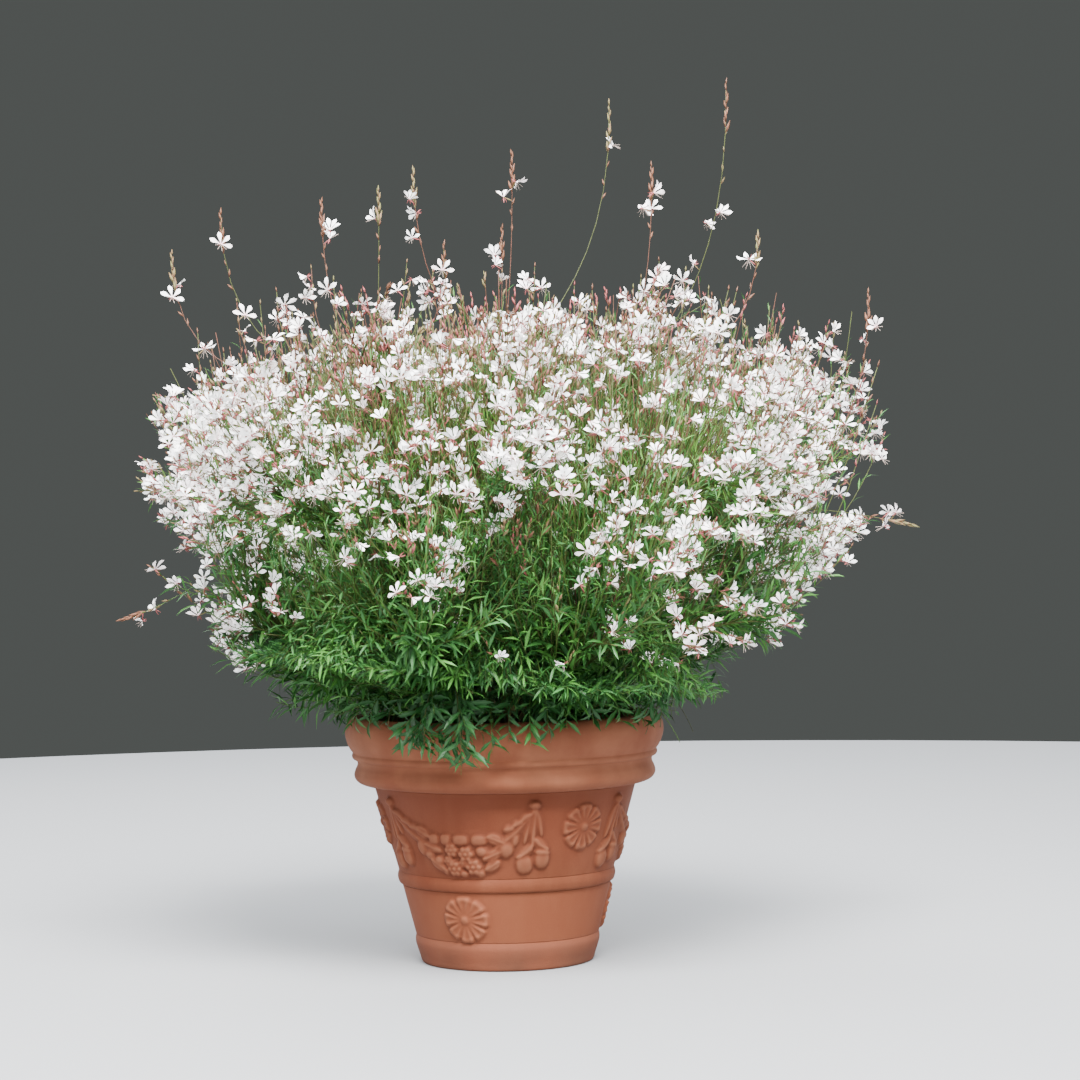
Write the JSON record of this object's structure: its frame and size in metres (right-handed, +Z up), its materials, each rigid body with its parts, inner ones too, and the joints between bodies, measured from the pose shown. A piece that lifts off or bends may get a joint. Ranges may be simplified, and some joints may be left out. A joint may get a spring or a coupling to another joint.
{
  "type": "potted gaura",
  "caption": "Flowering plant in a round ornamented terracotta pot: a wide mound of wiry stems, narrow leaves and white blossom.",
  "frame": {"origin": "centre of the pot's flat underside, on the ground", "axes": "+Z up, -Y towards the front of the picture, +X to the right seen from the front"},
  "size_m": [1.179, 1.057, 1.3093],
  "materials": {
    "terracotta": "matte",
    "compost": "matte",
    "woody_stem": "matte",
    "stem": "matte",
    "foliage_skirt": "matte",
    "foliage_side": "matte",
    "foliage_upper": "matte",
    "foliage_heart": "matte",
    "foliage_top": "matte"
  },
  "bodies": {
    "root": {"pot": "terracotta", "compost": "compost", "root_crown": "woody_stem", "stem_skirt_1": "stem", "foliage_skirt_1": "foliage_skirt", "stem_skirt_2": "stem", "foliage_skirt_2": "foliage_skirt", "stem_skirt_3": "stem", "foliage_skirt_3": "foliage_skirt", "stem_skirt_4": "stem", "foliage_skirt_4": "foliage_skirt", "stem_skirt_5": "stem", "foliage_skirt_5": "foliage_skirt", "stem_skirt_6": "stem", "foliage_skirt_6": "foliage_skirt", "stem_skirt_7": "stem", "foliage_skirt_7": "foliage_skirt", "stem_skirt_8": "stem", "foliage_skirt_8": "foliage_skirt", "stem_side_1": "stem", "foliage_side_1": "foliage_side", "stem_side_2": "stem", "foliage_side_2": "foliage_side", "stem_side_3": "stem", "foliage_side_3": "foliage_side", "stem_side_4": "stem", "foliage_side_4": "foliage_side", "stem_side_5": "stem", "foliage_side_5": "foliage_side", "stem_side_6": "stem", "foliage_side_6": "foliage_side", "stem_side_7": "stem", "foliage_side_7": "foliage_side", "stem_side_8": "stem", "foliage_side_8": "foliage_side", "stem_upper_1": "stem", "foliage_upper_1": "foliage_upper", "stem_upper_2": "stem", "foliage_upper_2": "foliage_upper", "stem_upper_3": "stem", "foliage_upper_3": "foliage_upper", "stem_upper_4": "stem", "foliage_upper_4": "foliage_upper", "stem_upper_5": "stem", "foliage_upper_5": "foliage_upper", "stem_upper_6": "stem", "foliage_upper_6": "foliage_upper", "stem_heart_1": "stem", "foliage_heart_1": "foliage_heart", "stem_heart_2": "stem", "foliage_heart_2": "foliage_heart", "stem_top_1": "stem", "foliage_top_1": "foliage_top", "stem_top_2": "stem", "foliage_top_2": "foliage_top"}
  },
  "joints": []
}
